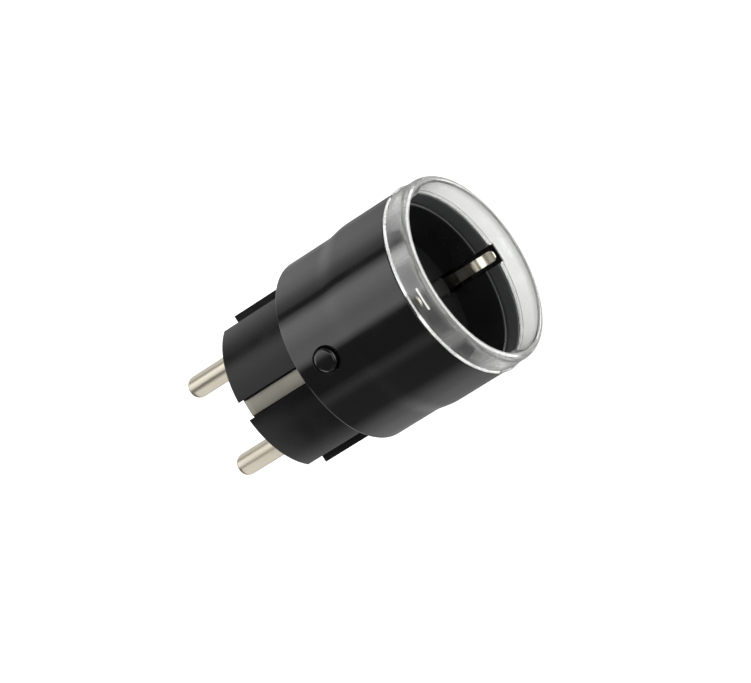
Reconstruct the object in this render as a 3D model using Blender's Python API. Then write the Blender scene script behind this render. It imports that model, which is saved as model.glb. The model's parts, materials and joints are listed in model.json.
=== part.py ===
"""A round type F smart plug with a clear light ring, modelled as the pieces it comes apart into.

Pieces are laid out in the plug's own frame: x along the line of the two pins, y up through the
side button, and the distance from the plug face towards the socket mouth along z. The frame empty
then turns that so that the pins point to +Y and the mouth faces -Y. All sizes are in metres.
"""
from math import asin, cos, pi, radians, sin, sqrt

import bmesh
import bpy
from mathutils import Matrix, Vector

# Fits
CLEARANCE = 0.0003

# Plug end
PIN_SPACING = 0.0190
PIN_DIAMETER = 0.0048
PIN_LENGTH = 0.0187
PIN_COLLAR_DIAMETER = 0.0060
PIN_COLLAR_HEIGHT = 0.0015
PIN_TAIL_DIAMETER = 0.0032
PLUG_RADIUS = 0.0179
PLUG_LENGTH = 0.0175
FLAT_INSET = 0.0018
RIB_HEIGHT = 0.0015
RIB_WIDTH = 0.0104
RIB_START = 0.0027
FACE_WALL = 0.0025
CAVITY_WALL = 0.0017
FLANGE_THICKNESS = 0.0015
EDGE_ROUNDING = 0.0005

# Earth path
NOTCH_WIDTH = 0.0041
STRIP_RECESS = 0.0016
STRIP_THICKNESS = 0.0008
STRIP_FRONT = 0.0010
SPRING_WIDTH = 0.0024
SPRING_THICKNESS = 0.0005
SPRING_SLOT_WIDTH = 0.0042
SPRING_ARM_RECESS = 0.0016
SPRING_APEX_REACH = 0.0018
SPRING_TIP_RECESS = 0.0016
SPRING_TIP_REACH = 0.0007
SPRING_LEAD = 0.0048
EARTH_SLOT_DEPTH = 0.0006
EARTH_TONGUE_THICKNESS = 0.0003
EARTH_TONGUE_LENGTH = 0.0006
EARTH_RECESS_RUN = 0.0020

# Housing shell
SHOULDER = 0.0026
SHELL_WALL = 0.00155
LIP_THICKNESS = 0.0015
RIM_ROUNDING = 0.0005
FLARE_STEP = 0.00065
NARROW_LENGTH = 0.0110
FLARE_LENGTH = 0.0060

# Light ring
RING_HEIGHT = 0.0056
RING_LIP_OVERHANG = 0.0003
RING_LIP_HEIGHT = 0.00045
RING_LIP_STEP = 0.0004
RING_OUTER_ROUNDING = 0.0011
RING_INNER_ROUNDING = 0.0003
GUIDE_WIDTH = 0.0046
GUIDE_HEIGHT = 0.0012
GUIDE_SETBACK = 0.0010
GUIDE_SLOPE = 0.0030
LIGHT_PIPE_WIDTH = 0.0020
LIGHT_PIPE_LENGTH = 0.0050
CHANNEL_DEPTH = 0.0009
LIGHT_PIPE_ANGLES = (30.0, 62.0, 118.0, 150.0)

# Socket insert
WELL_DEPTH = 0.0175
INSERT_WALL = 0.0008
INSERT_SETBACK = 0.0026
FLOOR_THICKNESS = 0.0020
FLOOR_BAR_WIDTH = 0.0033
FLOOR_BAR_HEIGHT = 0.0015
FLOOR_GROOVE_DEPTH = 0.0008
PIN_HOLE_DIAMETER = 0.0056

# Child shutter
SHUTTER_THICKNESS = 0.0012
SHUTTER_PIVOT_DIAMETER = 0.0040
SHUTTER_HUB_WIDTH = 0.0028
SHUTTER_COVER_LAP = 0.0004
COVER_THICKNESS = 0.0012
COVER_RADIUS = 0.0150
COVER_POST_DIAMETER = 0.0036
LEAF_THICKNESS = 0.0004

# Contacts and straps
CONTACT_THICKNESS = 0.0006
CONTACT_WIDTH = 0.0050
CONTACT_OPENING = 0.0052
CONTACT_PINCH = 0.0008
CONTACT_LEG_WIDTH = 0.0030
STRAP_WIDTH = 0.0040
STRAP_THICKNESS = 0.0006
STRAP_FOOT = 0.0029

# Boards and what stands on them
BOARD_LENGTH = 0.0087
BOARD_HEIGHT = 0.0100
BOARD_THICKNESS = 0.0012
RELAY_LENGTH = 0.0185
RELAY_WIDTH = 0.0104
RELAY_HEIGHT = 0.0152
RELAY_OVERLAP = 0.0035
CAPACITOR_DIAMETER = 0.0050
INDUCTOR_DIAMETER = 0.0046
INDUCTOR_HEIGHT = 0.0060
FILM_CAPACITOR_LENGTH = 0.0050
FILM_CAPACITOR_WIDTH = 0.0044
FILM_CAPACITOR_HEIGHT = 0.0055
VARISTOR_DIAMETER = 0.0056
VARISTOR_THICKNESS = 0.0026
FUSE_DIAMETER = 0.0028
FUSE_LENGTH = 0.0080
RECTIFIER_SIZE = (0.0048, 0.0016, 0.0015)
METER_CHIP_SIZE = (0.0050, 0.0040, 0.0014)
RADIO_WIDTH = 0.0074
RADIO_THICKNESS = 0.0008
SHIELD_MARGIN = 0.0006
SHIELD_HEIGHT = 0.0016
LED_SIZE = (0.0006, 0.0016, 0.0012)

# Button and tact switch
BUTTON_DIAMETER = 0.0050
BUTTON_PLACE = 0.0072
BUTTON_PROUD = 0.0009
BUTTON_ROUNDING = 0.0006
BUTTON_FLANGE_LAP = 0.0009
BUTTON_FLANGE_HEIGHT = 0.0008
BUTTON_STEM = 0.0003
SWITCH_SIZE = 0.0045
PLUNGER_DIAMETER = 0.0020
PLUNGER_PROUD = 0.0015
PLUNGER_INSIDE = 0.0012
PLUNGER_TRAVEL = 0.0004

# Shares of a piece's own size at which its outline turns
PIN_TIP_SHARE = 0.95
WING_ROOT_SHARE = 0.6
PINCH_START_SHARE = 0.45
PINCH_END_SHARE = 0.80

# Facets
SHELL_STEPS = 64
COVER_STEPS = 48
PIN_STEPS = 24
SMALL_STEPS = 20
ARC_STEPS = 4

# Radii and heights that follow from the sizes above
pin_x = PIN_SPACING / 2
pin_radius = PIN_DIAMETER / 2
strip_outer = PLUG_RADIUS - STRIP_RECESS
strip_inner = strip_outer - STRIP_THICKNESS
notch_floor = strip_inner - CLEARANCE
cavity_radius = notch_floor - CAVITY_WALL
flat_x = PLUG_RADIUS - FLAT_INSET
rib_x = flat_x + RIB_HEIGHT
strip_width = NOTCH_WIDTH - 2 * CLEARANCE

narrow_radius = PLUG_RADIUS + SHOULDER
wide_radius = narrow_radius + FLARE_STEP
narrow_bore = narrow_radius - SHELL_WALL
band_radius = wide_radius - SHELL_WALL
channel_radius = band_radius + CHANNEL_DEPTH
earth_slot_radius = band_radius + EARTH_SLOT_DEPTH
insert_radius = band_radius - CLEARANCE
well_radius = insert_radius - INSERT_WALL

# Stations along the plug's axis, from the plug face to the socket mouth
rim_station = PLUG_LENGTH
flange_rear = rim_station + LIP_THICKNESS + CLEARANCE
flange_front = flange_rear + FLANGE_THICKNESS
board_rear = flange_front + CLEARANCE
board_front = board_rear + BOARD_LENGTH
bridge_rear = board_front + CLEARANCE
bridge_front = bridge_rear + STRIP_THICKNESS
cover_rear = bridge_front + CLEARANCE
cover_front = cover_rear + COVER_THICKNESS
shutter_rear = cover_front + CLEARANCE
shutter_front = shutter_rear + SHUTTER_THICKNESS
floor_back = shutter_front + CLEARANCE
floor_station = floor_back + FLOOR_THICKNESS
mouth_station = floor_station + WELL_DEPTH
ring_back = mouth_station - RING_HEIGHT
shell_front = ring_back - CLEARANCE
insert_front = ring_back - INSERT_SETBACK - CLEARANCE


def clear_scene():
    """Remove whatever objects the file starts with."""
    for old in list(bpy.data.objects):
        bpy.data.objects.remove(old)


def finish_material(name, colour, roughness, metallic=0.0, alpha=1.0):
    """A Principled material with one base colour."""
    made = bpy.data.materials.new(name)
    made.use_nodes = True
    shader = made.node_tree.nodes["Principled BSDF"]
    shader.inputs["Base Color"].default_value = (*colour, 1.0)
    shader.inputs["Roughness"].default_value = roughness
    shader.inputs["Metallic"].default_value = metallic
    shader.inputs["Alpha"].default_value = alpha
    return made


clear_scene()
frame = bpy.data.objects.new("plug_frame", None)
frame.rotation_euler = (pi / 2, 0, 0)
bpy.context.scene.collection.objects.link(frame)

black_gloss = finish_material("black_gloss_plastic", (0.012, 0.012, 0.013), 0.18)
black_satin = finish_material("black_satin_plastic", (0.015, 0.015, 0.016), 0.35)
clear_plastic = finish_material("clear_polycarbonate", (0.86, 0.89, 0.90), 0.06, alpha=0.35)
white_plastic = finish_material("white_plastic", (0.78, 0.78, 0.75), 0.45)
nickel = finish_material("nickel_plate", (0.72, 0.67, 0.58), 0.22, metallic=1.0)
copper_alloy = finish_material("phosphor_bronze", (0.66, 0.46, 0.25), 0.30, metallic=1.0)
spring_steel = finish_material("spring_steel", (0.62, 0.62, 0.62), 0.28, metallic=1.0)
board_green = finish_material("fibreglass_board", (0.03, 0.16, 0.07), 0.45)
relay_case = finish_material("relay_case", (0.05, 0.12, 0.35), 0.35)
film_case = finish_material("film_capacitor_case", (0.62, 0.50, 0.10), 0.40)
can_sleeve = finish_material("capacitor_sleeve", (0.05, 0.06, 0.10), 0.35)
chip_black = finish_material("chip_moulding", (0.03, 0.03, 0.03), 0.55)
varistor_blue = finish_material("varistor_epoxy", (0.04, 0.16, 0.42), 0.40)
fuse_body = finish_material("fuse_ceramic", (0.66, 0.60, 0.48), 0.50)
shield_tin = finish_material("shield_can", (0.70, 0.71, 0.72), 0.30, metallic=1.0)
led_lens = finish_material("led_lens", (0.88, 0.84, 0.62), 0.25)


def place(name, bm, finish, at=(0, 0, 0), smooth=True):
    """Turn a bmesh into a named object in the plug's frame, with its origin at a given point."""
    bmesh.ops.translate(bm, verts=bm.verts, vec=-Vector(at))
    mesh = bpy.data.meshes.new(name)
    bm.to_mesh(mesh)
    bm.free()
    if smooth:
        mesh.shade_smooth()
        mesh.set_sharp_from_angle(angle=radians(32))
    piece = bpy.data.objects.new(name, mesh)
    piece.parent = frame
    piece.location = at
    if finish is not None:
        mesh.materials.append(finish)
    bpy.context.scene.collection.objects.link(piece)
    return piece


def combine(target, tool_bm, operation):
    """Cut a shape out of a piece, or join one on, and keep the tool shape as a hidden guide."""
    count = len(target.modifiers)
    tool = place(f"{target.name}_tool_{count}", tool_bm, None, smooth=False)
    tool.hide_render = True
    tool.display_type = "WIRE"
    change = target.modifiers.new(f"{operation.lower()}_{count}", "BOOLEAN")
    change.operation = operation
    change.solver = "EXACT"
    change.object = tool


def cut(target, tool_bm):
    """Take a shape away from a piece."""
    combine(target, tool_bm, "DIFFERENCE")


def join(target, tool_bm):
    """Fuse a shape to a piece."""
    combine(target, tool_bm, "UNION")


def turned(profile, steps=SHELL_STEPS):
    """Spin a closed outline of (radius, station) points round the plug's axis."""
    bm = bmesh.new()
    points = [bm.verts.new((radius, 0, station)) for radius, station in profile]
    for index, point in enumerate(points):
        following = points[(index + 1) % len(points)]
        if point.co.x > 0 or following.co.x > 0:
            bm.edges.new((point, following))
    bmesh.ops.spin(bm, geom=bm.verts[:] + bm.edges[:], axis=(0, 0, 1), cent=(0, 0, 0),
                   angle=2 * pi, steps=steps)
    bmesh.ops.remove_doubles(bm, verts=bm.verts, dist=1e-6)
    bmesh.ops.recalc_face_normals(bm, faces=bm.faces)
    return bm


def box(low, high, rounding=0.0):
    """A block between two corners, with its edges broken where a rounding is given."""
    low = Vector(low)
    high = Vector(high)
    size = high - low
    bm = bmesh.new()
    bmesh.ops.create_cube(bm, size=1.0, matrix=Matrix.Diagonal((*size, 1.0)))
    bmesh.ops.translate(bm, verts=bm.verts, vec=(low + high) / 2)
    if rounding > 0:
        limit = min(rounding, min(size) / 3)
        bmesh.ops.bevel(bm, geom=bm.edges[:], offset=limit, segments=1, affect="EDGES")
    return bm


def rod(start, end, radius, steps=SMALL_STEPS):
    """A plain round bar between two points, with a flat and not an edge towards each of its axes."""
    start = Vector(start)
    end = Vector(end)
    axis = end - start
    bm = bmesh.new()
    turn = Vector((0, 0, 1)).rotation_difference(axis).to_matrix().to_4x4()
    turn = turn @ Matrix.Rotation(pi / steps, 4, "Z")
    bmesh.ops.create_cone(bm, cap_ends=True, segments=steps, radius1=radius, radius2=radius,
                          depth=axis.length, matrix=Matrix.Translation((start + end) / 2) @ turn)
    return bm


def prism(outline, low, high):
    """A flat outline of (x, y) points drawn out along the plug's axis."""
    bm = bmesh.new()
    face = bm.faces.new([bm.verts.new((x, y, low)) for x, y in outline])
    grown = bmesh.ops.extrude_face_region(bm, geom=[face])
    moved = [item for item in grown["geom"] if isinstance(item, bmesh.types.BMVert)]
    bmesh.ops.translate(bm, verts=moved, vec=(0, 0, high - low))
    bmesh.ops.recalc_face_normals(bm, faces=bm.faces)
    return bm


def strip_outline(path, thickness):
    """The outline of a bent sheet: the path moved half its thickness to either side, mitred."""
    points = [Vector(point) for point in path]
    steps = [(after - before).normalized() for before, after in zip(points, points[1:])]
    sides = [Vector((-step.y, step.x)) for step in steps]
    offsets = [sides[0]]
    for before, after in zip(sides, sides[1:]):
        middle = (before + after).normalized()
        offsets.append(middle / middle.dot(before))
    offsets.append(sides[-1])
    left = [point + side * thickness / 2 for point, side in zip(points, offsets)]
    right = [point - side * thickness / 2 for point, side in zip(points, offsets)]
    return left + right[::-1]


def upright_strip(path, thickness, width, x=0.0):
    """A bent sheet whose path is given as (y, station) points, with its width along x."""
    bm = prism(strip_outline(path, thickness), -width / 2, width / 2)
    swap = Matrix(((0, 0, 1, x), (1, 0, 0, 0), (0, 1, 0, 0), (0, 0, 0, 1)))
    bmesh.ops.transform(bm, matrix=swap, verts=bm.verts)
    bmesh.ops.recalc_face_normals(bm, faces=bm.faces)
    return bm


def flat_strip(path, thickness, width, y=0.0):
    """A bent sheet whose path is given as (x, station) points, with its width along y."""
    bm = prism(strip_outline(path, thickness), -width / 2, width / 2)
    swap = Matrix(((1, 0, 0, 0), (0, 0, 1, y), (0, 1, 0, 0), (0, 0, 0, 1)))
    bmesh.ops.transform(bm, matrix=swap, verts=bm.verts)
    bmesh.ops.recalc_face_normals(bm, faces=bm.faces)
    return bm


def about_axis(bm, angle):
    """Turn a shape round the plug's axis, by degrees from the x direction."""
    bmesh.ops.rotate(bm, verts=bm.verts, cent=(0, 0, 0), matrix=Matrix.Rotation(radians(angle), 3, "Z"))
    return bm


def arc(centre, radius, start, end, steps=ARC_STEPS):
    """Points on a circular arc, in degrees, both ends included."""
    angles = [radians(start + (end - start) * step / steps) for step in range(steps + 1)]
    return [(centre[0] + radius * cos(angle), centre[1] + radius * sin(angle)) for angle in angles]


def chord(radius, offset):
    """Half the width of a circle at a given distance from its centre."""
    return sqrt(radius ** 2 - offset ** 2)


# Housing shell: one moulded tube with an inner lip at the plug end and a shallow flare
flare_start = rim_station + NARROW_LENGTH
flare_end = flare_start + FLARE_LENGTH
flare = []
for step in range(2 * ARC_STEPS + 1):
    share = step / (2 * ARC_STEPS)
    rise = FLARE_STEP * (1 - cos(pi * share)) / 2
    flare.append((narrow_radius + rise, flare_start + FLARE_LENGTH * share))
opening_radius = PLUG_RADIUS + CLEARANCE
shell_profile = [(opening_radius, rim_station)]
shell_profile += arc((narrow_radius - RIM_ROUNDING, rim_station + RIM_ROUNDING), RIM_ROUNDING, -90, 0)
shell_profile += flare
shell_profile += [
    (wide_radius, shell_front),
    (band_radius, shell_front),
    (band_radius, flare_end),
    (narrow_bore, flare_start),
    (narrow_bore, rim_station + LIP_THICKNESS),
    (opening_radius, rim_station + LIP_THICKNESS),
]
housing = place("housing_shell", turned(shell_profile), black_gloss)

beyond = 2 * wide_radius
rib_slot_x = rib_x + CLEARANCE
rib_slot_half = RIB_WIDTH / 2 + CLEARANCE
cut(housing, box((-rib_slot_x, -rib_slot_half, rim_station - LIP_THICKNESS),
                 (rib_slot_x, rib_slot_half, rim_station + LIP_THICKNESS + CLEARANCE)))

button_station = rim_station + BUTTON_PLACE
button_radius = BUTTON_DIAMETER / 2
cut(housing, rod((0, narrow_bore - SHELL_WALL, button_station), (0, beyond, button_station),
                 button_radius + CLEARANCE))

spring_slot_half = SPRING_SLOT_WIDTH / 2
tongue_outer = earth_slot_radius + EARTH_TONGUE_THICKNESS
tongue_front = ring_back + EARTH_TONGUE_LENGTH
for side in (-1, 1):
    tongue_low = min(side * well_radius, side * tongue_outer)
    tongue_high = max(side * well_radius, side * tongue_outer)
    join(housing, box((-spring_slot_half, tongue_low, shell_front - LIP_THICKNESS),
                      (spring_slot_half, tongue_high, tongue_front)))
cut(housing, box((-spring_slot_half - CLEARANCE, -earth_slot_radius, ring_back - CLEARANCE / 2),
                 (spring_slot_half + CLEARANCE, earth_slot_radius, tongue_front + LIP_THICKNESS)))
cut(housing, box((-spring_slot_half, -earth_slot_radius, floor_back),
                 (spring_slot_half, earth_slot_radius, shell_front + LIP_THICKNESS)))

led_thick, led_wide, led_tall = LED_SIZE
led_front = ring_back - LIGHT_PIPE_LENGTH - CLEARANCE
led_rear = led_front - led_tall
channel_half = LIGHT_PIPE_WIDTH / 2 + CLEARANCE
for angle in LIGHT_PIPE_ANGLES:
    cut(housing, about_axis(box((well_radius, -channel_half, led_rear - CLEARANCE),
                                (channel_radius, channel_half, shell_front + LIP_THICKNESS)), angle))

# Plug base: a cup with two flats, guide ribs and earth notches, and a flange that seats on the lip
flange_radius = narrow_bore - CLEARANCE
base_profile = [(0, 0), (PLUG_RADIUS - EDGE_ROUNDING, 0)]
base_profile += arc((PLUG_RADIUS - EDGE_ROUNDING, EDGE_ROUNDING), EDGE_ROUNDING, -60, 0, 2)
base_profile += [
    (PLUG_RADIUS, flange_rear),
    (flange_radius, flange_rear),
    (flange_radius, flange_front),
    (cavity_radius, flange_front),
    (cavity_radius, FACE_WALL),
    (0, FACE_WALL),
]
plug_base = place("plug_base", turned(base_profile), black_satin)
for side in (-1, 1):
    flat_low = min(side * flat_x, side * beyond)
    flat_high = max(side * flat_x, side * beyond)
    cut(plug_base, box((flat_low, -beyond, -CLEARANCE), (flat_high, beyond, flange_rear - CLEARANCE)))
    rib_low = min(side * rib_x, side * (flat_x - FLAT_INSET))
    rib_high = max(side * rib_x, side * (flat_x - FLAT_INSET))
    join(plug_base, box((rib_low, -RIB_WIDTH / 2, RIB_START),
                        (rib_high, RIB_WIDTH / 2, flange_rear + FLANGE_THICKNESS / 2)))
    cut(plug_base, rod((side * pin_x, 0, -FACE_WALL), (side * pin_x, 0, 2 * FACE_WALL),
                       pin_radius + CLEARANCE, PIN_STEPS))
    notch_low = min(side * notch_floor, side * beyond)
    notch_high = max(side * notch_floor, side * beyond)
    cut(plug_base, box((-NOTCH_WIDTH / 2, notch_low, -CLEARANCE),
                       (NOTCH_WIDTH / 2, notch_high, flange_front + CLEARANCE)))
yoke_rear = FACE_WALL + 2 * CLEARANCE
yoke_front = yoke_rear + STRIP_THICKNESS
yoke_half = strip_width / 2 - CLEARANCE
cut(plug_base, box((-yoke_half - CLEARANCE, -strip_inner, yoke_rear - CLEARANCE),
                   (yoke_half + CLEARANCE, strip_inner, yoke_front + CLEARANCE)))

# Pins: turned, with a rounded tip, a collar behind the face wall and a thinner tail
pin_tip = pin_radius * PIN_TIP_SHARE
pin_profile = [(0, -PIN_LENGTH)]
pin_profile += arc((pin_radius - pin_tip, pin_tip - PIN_LENGTH), pin_tip, -75, 0, 5)
collar_rear = FACE_WALL + CLEARANCE
collar_front = collar_rear + PIN_COLLAR_HEIGHT
pin_profile += [
    (pin_radius, collar_rear),
    (PIN_COLLAR_DIAMETER / 2, collar_rear),
    (PIN_COLLAR_DIAMETER / 2, collar_front),
    (PIN_TAIL_DIAMETER / 2, collar_front),
    (PIN_TAIL_DIAMETER / 2, flange_front),
    (0, flange_front),
]
for pin_name, side in (("live_pin", -1), ("neutral_pin", 1)):
    pin = turned(pin_profile, PIN_STEPS)
    bmesh.ops.translate(pin, verts=pin.verts, vec=(side * pin_x, 0, 0))
    place(pin_name, pin, nickel, at=(side * pin_x, 0, 0))

# Earth strips in the plug's notches, with their front ends bent in, and the yoke that joins them
strip_middle = (strip_outer + strip_inner) / 2
strip_end = board_rear
for strip_name, side in (("plug_earth_strip_top", 1), ("plug_earth_strip_bottom", -1)):
    path = [(side * strip_middle, STRIP_FRONT), (side * strip_middle, strip_end)]
    place(strip_name, upright_strip(path, STRIP_THICKNESS, strip_width), nickel)
yoke_end = strip_inner - CLEARANCE
place("earth_yoke", box((-yoke_half, -yoke_end, yoke_rear), (yoke_half, yoke_end, yoke_front)), nickel)

# Earth link along the bottom of the housing, and the bridge across the back of the socket
link_path = [(-strip_middle, strip_end + CLEARANCE), (-strip_middle, board_front)]
place("earth_link", upright_strip(link_path, STRIP_THICKNESS, strip_width), nickel)
arm_y = well_radius - SPRING_ARM_RECESS
bridge_end = arm_y + STRIP_THICKNESS
place("earth_bridge", box((-yoke_half, -bridge_end, bridge_rear), (yoke_half, bridge_end, bridge_front)),
      nickel)

# Earth springs: an arm up the side of the well that bows in to touch a plug, and a tip led outwards
arm_foot = bridge_front + CLEARANCE
arm_knee = floor_station + FLOOR_BAR_HEIGHT
spring_tip_station = ring_back + SPRING_TIP_REACH
apex_station = spring_tip_station - SPRING_LEAD
apex_y = arm_y - SPRING_APEX_REACH
tip_y = earth_slot_radius - SPRING_TIP_RECESS
apex_half = (spring_tip_station - arm_knee) / 8
for spring_name, side in (("earth_spring_top", 1), ("earth_spring_bottom", -1)):
    path = [
        (side * arm_y, arm_foot),
        (side * arm_y, arm_knee - apex_half),
        (side * (arm_y - SPRING_APEX_REACH / 6), arm_knee + apex_half),
        (side * (apex_y + SPRING_APEX_REACH / 8), apex_station - apex_half),
        (side * apex_y, apex_station),
        (side * (apex_y + SPRING_APEX_REACH / 4), apex_station + apex_half),
        (side * tip_y, spring_tip_station),
    ]
    place(spring_name, upright_strip(path, SPRING_THICKNESS, SPRING_WIDTH), nickel,
          at=(0, side * arm_y, arm_foot))

# Socket insert: the cup that a plug goes into, with pin holes, earth slots and a bar across the floor
insert_profile = [
    (0, floor_back),
    (insert_radius, floor_back),
    (insert_radius, insert_front),
    (well_radius, insert_front),
    (well_radius, floor_station),
    (0, floor_station),
]
insert = place("socket_insert", turned(insert_profile), black_gloss)
pivot_radius = SHUTTER_PIVOT_DIAMETER / 2
join(insert, rod((0, 0, cover_front), (0, 0, floor_station - FLOOR_THICKNESS / 2), pivot_radius))
bar_half = FLOOR_BAR_WIDTH / 2
bar_end = apex_y - SPRING_THICKNESS
cut(insert, box((-spring_slot_half, -arm_y, floor_station - FLOOR_GROOVE_DEPTH),
                (spring_slot_half, arm_y, floor_station + FLOOR_BAR_HEIGHT)))
join(insert, box((-bar_half, -bar_end, floor_station - FLOOR_THICKNESS / 2),
                 (bar_half, bar_end, floor_station + FLOOR_BAR_HEIGHT)))
post_y = COVER_RADIUS - COVER_POST_DIAMETER
slot_y = arm_y - 2 * SPRING_THICKNESS
for side in (-1, 1):
    cut(insert, rod((side * pin_x, 0, floor_back - FLOOR_THICKNESS),
                    (side * pin_x, 0, floor_station + FLOOR_THICKNESS), PIN_HOLE_DIAMETER / 2, PIN_STEPS))
    join(insert, rod((0, side * post_y, shutter_rear),
                     (0, side * post_y, floor_station - FLOOR_THICKNESS / 2), COVER_POST_DIAMETER / 2))
    slot_low = min(side * slot_y, side * beyond)
    slot_high = max(side * slot_y, side * beyond)
    cut(insert, box((-spring_slot_half, slot_low, floor_back - FLOOR_THICKNESS),
                    (spring_slot_half, slot_high, insert_front + FLOOR_THICKNESS)))

# Child shutter: two wings on a pivot that cover the pin holes until both are pushed aside together
wing_half = PIN_HOLE_DIAMETER / 2 + SHUTTER_COVER_LAP
wing_outer = pin_x + wing_half
wing_angle = asin(wing_half / pin_x)
hub_radius = pivot_radius + CLEARANCE + SHUTTER_HUB_WIDTH
wing_root = hub_radius * WING_ROOT_SHARE
wing_inner = chord(hub_radius, wing_root)
shutter = place("shutter", turned([
    (pivot_radius + CLEARANCE, shutter_rear),
    (hub_radius, shutter_rear),
    (hub_radius, shutter_front),
    (pivot_radius + CLEARANCE, shutter_front),
], PIN_STEPS), white_plastic)
for side in (-1, 1):
    rim = arc((0, 0), wing_outer, -wing_angle * 180 / pi, wing_angle * 180 / pi, 6)
    outline = [(wing_inner, -wing_root)] + rim + [(wing_inner, wing_root)]
    join(shutter, about_axis(prism(outline, shutter_rear, shutter_front), 90 - 90 * side))

# Shutter cover: a disc on the insert's posts that keeps the shutter in and guides the pins
cover = place("shutter_cover", turned([
    (pivot_radius + CLEARANCE, cover_rear),
    (COVER_RADIUS, cover_rear),
    (COVER_RADIUS, cover_front),
    (pivot_radius + CLEARANCE, cover_front),
], COVER_STEPS), white_plastic)
for side in (-1, 1):
    cut(cover, rod((side * pin_x, 0, cover_rear - COVER_THICKNESS),
                   (side * pin_x, 0, cover_front + COVER_THICKNESS), PIN_HOLE_DIAMETER / 2, PIN_STEPS))

# Shutter spring: a bent leaf between the upper post and the edge of one wing
leaf_start = Vector((COVER_POST_DIAMETER / 2 + CLEARANCE + LEAF_THICKNESS / 2, post_y))
leaf_end_angle = wing_angle + (CLEARANCE + LEAF_THICKNESS) / pin_x
leaf_end = Vector((pin_x * cos(leaf_end_angle), pin_x * sin(leaf_end_angle)))
leaf_corner = Vector((leaf_end.x, leaf_start.y))
leaf_path = []
for step in range(2 * ARC_STEPS + 1):
    share = step / (2 * ARC_STEPS)
    point = leaf_start * (1 - share) ** 2 + leaf_corner * 2 * share * (1 - share) + leaf_end * share ** 2
    leaf_path.append(point)
place("shutter_spring", prism(strip_outline(leaf_path, LEAF_THICKNESS), shutter_rear, shutter_front),
      spring_steel)

# Live and neutral socket contacts, each a bent clip with a leg down to the power board
contact_half = CONTACT_OPENING / 2 + CONTACT_THICKNESS / 2
pinch_half = contact_half - CONTACT_PINCH
strap_rear = board_rear
strap_front = strap_rear + STRAP_THICKNESS
contact_base = strap_front + CLEARANCE + CONTACT_THICKNESS / 2
contact_top = bridge_front
contact_span = contact_top - contact_base
leg_outer = CONTACT_OPENING / 2 + CONTACT_THICKNESS + CLEARANCE / 3
leg_inner = CONTACT_OPENING / 2 + CLEARANCE / 3
leg_rear = contact_base + contact_span / 3
for contact_name, side in (("live_contact", -1), ("neutral_contact", 1)):
    half = [
        (contact_half, contact_base),
        (contact_half, contact_base + contact_span * PINCH_START_SHARE),
        (pinch_half, contact_base + contact_span * PINCH_END_SHARE),
        (pinch_half + CONTACT_PINCH / 2, contact_top),
    ]
    path = [(-x, station) for x, station in half[::-1]] + half
    path = [(x + side * pin_x, station) for x, station in path]
    contact = place(contact_name, flat_strip(path, CONTACT_THICKNESS, CONTACT_WIDTH), copper_alloy)
    leg_near = side * (pin_x + leg_inner)
    leg_far = side * (pin_x + leg_outer)
    join(contact, box((min(leg_near, leg_far), -BOARD_HEIGHT + CLEARANCE, leg_rear),
                      (max(leg_near, leg_far), CONTACT_WIDTH / 4, leg_rear + CONTACT_LEG_WIDTH)))

# Straps from the pins' tails down to the power board, each with a foot along the board
strap_middle = (strap_rear + strap_front) / 2
foot_y = -BOARD_HEIGHT + CLEARANCE + STRAP_THICKNESS / 2
for strap_name, side in (("live_strap", -1), ("neutral_strap", 1)):
    path = [
        (PIN_TAIL_DIAMETER / 2, strap_middle),
        (foot_y, strap_middle),
        (foot_y, strap_rear + STRAP_FOOT),
    ]
    place(strap_name, upright_strip(path, STRAP_THICKNESS, STRAP_WIDTH, side * pin_x), copper_alloy)

# Power board, with a tongue into the plug base that carries the relay, and the control board above
board_face = BOARD_HEIGHT + BOARD_THICKNESS
board_half = chord(narrow_bore - CLEARANCE, board_face)
relay_front = board_rear + RELAY_OVERLAP
relay_rear = relay_front - RELAY_LENGTH
tongue_half = min(chord(cavity_radius - CLEARANCE, board_face), RELAY_WIDTH / 2)
power_outline = [
    (-tongue_half, relay_rear), (tongue_half, relay_rear), (tongue_half, board_rear),
    (board_half, board_rear), (board_half, board_front), (-board_half, board_front),
    (-board_half, board_rear), (-tongue_half, board_rear),
]
power_board = prism(power_outline, -board_face, -BOARD_HEIGHT)
lay_flat = Matrix(((1, 0, 0, 0), (0, 0, 1, 0), (0, 1, 0, 0), (0, 0, 0, 1)))
bmesh.ops.transform(power_board, matrix=lay_flat, verts=power_board.verts)
bmesh.ops.recalc_face_normals(power_board, faces=power_board.faces)
place("power_board", power_board, board_green, smooth=False)
place("control_board", box((-board_half, BOARD_HEIGHT, board_rear), (board_half, board_face, board_front)),
      board_green, smooth=False)

# Parts on the power board
power_top = -BOARD_HEIGHT + CLEARANCE
place("relay", box((-RELAY_WIDTH / 2, power_top, relay_rear),
                   (RELAY_WIDTH / 2, power_top + RELAY_HEIGHT, relay_front), EDGE_ROUNDING), relay_case)
film_front = board_front - CLEARANCE
film_rear = film_front - FILM_CAPACITOR_LENGTH
film_outer = pin_x + leg_inner - CLEARANCE
film_top = power_top + FILM_CAPACITOR_HEIGHT
place("film_capacitor", box((film_outer - FILM_CAPACITOR_WIDTH, power_top, film_rear),
                            (film_outer, film_top, film_front), EDGE_ROUNDING), film_case)
varistor_y = power_top + VARISTOR_DIAMETER / 2
varistor_station = board_front - CLEARANCE - VARISTOR_DIAMETER / 2
place("varistor", rod((-pin_x - VARISTOR_THICKNESS / 2, varistor_y, varistor_station),
                      (-pin_x + VARISTOR_THICKNESS / 2, varistor_y, varistor_station),
                      VARISTOR_DIAMETER / 2), varistor_blue)
fuse_y = power_top + FUSE_DIAMETER / 2
fuse_station = board_front - CLEARANCE - FUSE_DIAMETER / 2
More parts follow.
